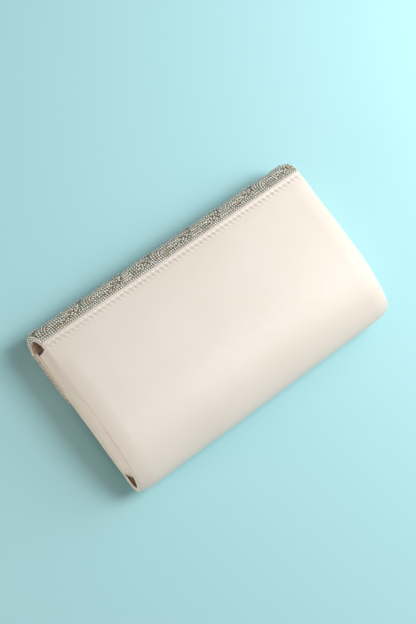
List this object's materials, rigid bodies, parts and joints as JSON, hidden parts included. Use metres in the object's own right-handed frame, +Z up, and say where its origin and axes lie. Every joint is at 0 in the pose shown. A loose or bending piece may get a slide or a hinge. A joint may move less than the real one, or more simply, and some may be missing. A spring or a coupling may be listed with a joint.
{
  "type": "evening bag",
  "caption": "Satin envelope clutch with a beaded flap and spine, folded side gussets, a stiffened lining and a magnetic snap.",
  "frame": {"origin": "centre of the bounding box's bottom face, under the closed flap the bag lies on", "axes": "+X along the width, +Y towards the top fold, +Z up, out of the back panel"},
  "size_m": [0.25, 0.14, 0.0388],
  "materials": {
    "satin": "pale blush satin, smooth and softly shining",
    "satin_edge": "turned satin edge",
    "wadding": "thin white felted wadding",
    "board": "grey-brown stiffening board",
    "lining_cloth": "champagne lining cloth, dull",
    "ground_cloth": "woven ground cloth under the beads",
    "beads": "silver-lined glass seed beads, silver and champagne",
    "thread": "twisted satin thread",
    "snap_metal": "nickel-plated pressed steel",
    "magnet": "sintered ring magnet"
  },
  "bodies": {
    "shell": {"back_satin": "satin", "back_wadding": "wadding", "back_board": "board", "bottom_stiffener": "board", "back_lining": "lining_cloth", "slip_pocket": "lining_cloth", "seam_stitches": "thread", "right_back_piping": "satin_edge", "left_back_piping": "satin_edge", "right_gusset": "satin", "left_gusset": "satin", "right_gusset_lining": "lining_cloth", "left_gusset_lining": "lining_cloth"},
    "front_panel": {"right_front_piping": "satin_edge", "left_front_piping": "satin_edge", "front_satin": "satin", "front_wadding": "wadding", "front_board": "board", "front_lining": "lining_cloth", "socket_cap": "snap_metal", "socket_magnet": "magnet", "socket_plate": "snap_metal", "socket_washer": "snap_metal"},
    "spine": {"spine_beadwork": "beads", "spine_ground_cloth": "ground_cloth", "spine_stiffener": "board", "spine_lining": "lining_cloth"},
    "flap": {"flap_beadwork": "beads", "flap_ground_cloth": "ground_cloth", "flap_board": "board", "flap_lining": "lining_cloth", "snap_stud": "snap_metal", "stud_washer": "snap_metal"}
  },
  "joints": [
    {"name": "flap_lift", "type": "hinge", "parent": "shell", "child": "spine", "pos_m": [0, 0.06015, 0.036], "axis": [1, 0, 0], "range_deg": [0, 90]},
    {"name": "flap_crease", "type": "hinge", "parent": "spine", "child": "flap", "pos_m": [0, 0.06015, 0], "axis": [1, 0, 0], "range_deg": [0, 90]},
    {"name": "front_press", "type": "hinge", "parent": "shell", "child": "front_panel", "pos_m": [0, -0.055, 0.0095], "axis": [1, 0, 0], "range_deg": [0, 8], "stiffness_Nm_per_rad": 0.6, "deforming": ["right_gusset", "left_gusset", "right_gusset_lining", "left_gusset_lining"]}
  ],
  "couplings": [
    {"joint": "flap_crease", "follows": "flap_lift", "ratio": 1}
  ]
}
